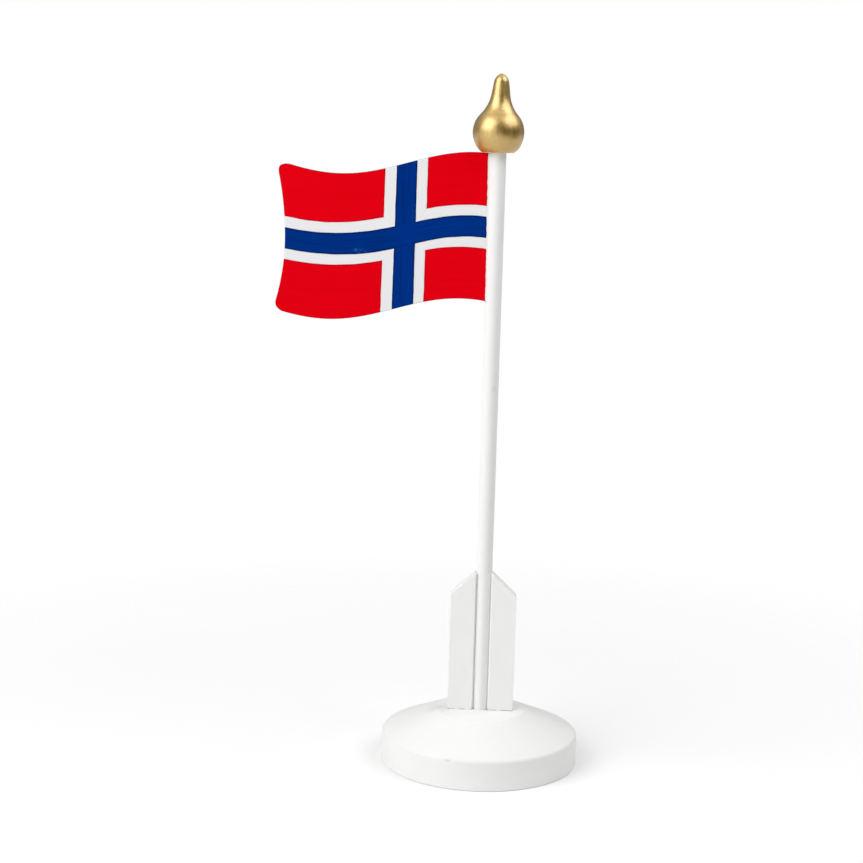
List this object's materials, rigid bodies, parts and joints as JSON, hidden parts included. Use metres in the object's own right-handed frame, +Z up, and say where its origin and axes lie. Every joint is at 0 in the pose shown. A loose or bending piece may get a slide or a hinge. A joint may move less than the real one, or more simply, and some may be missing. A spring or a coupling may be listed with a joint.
{
  "type": "desk flag stand",
  "caption": "Painted wooden table flag: turned round base, slim pole between upright cheeks, flat waving flag board and a drop-shaped gold knob on top.",
  "frame": {"origin": "centre of the base's underside, on the pole's axis", "axes": "+Z up along the pole, -Y towards the front, the flag reaches towards -X"},
  "size_m": [0.1583, 0.1, 0.3479],
  "materials": {
    "white_paint": "satin white paint on wood",
    "bare_wood": "unpainted beech",
    "flag_paint": "hand-painted satin red ground with a white and blue cross",
    "gold_paint": "satin metallic gold paint on wood"
  },
  "bodies": {
    "stand": {"base": "white_paint", "cheek_left": "white_paint", "cheek_right": "white_paint", "cheek_pins": "bare_wood"},
    "mast": {"pole": "white_paint", "flag": "flag_paint", "finial": "gold_paint"}
  },
  "joints": [
    {"name": "mast_lift", "type": "slide", "parent": "stand", "child": "mast", "axis": [0, 0, 1], "range_m": [0, 0.1]}
  ]
}
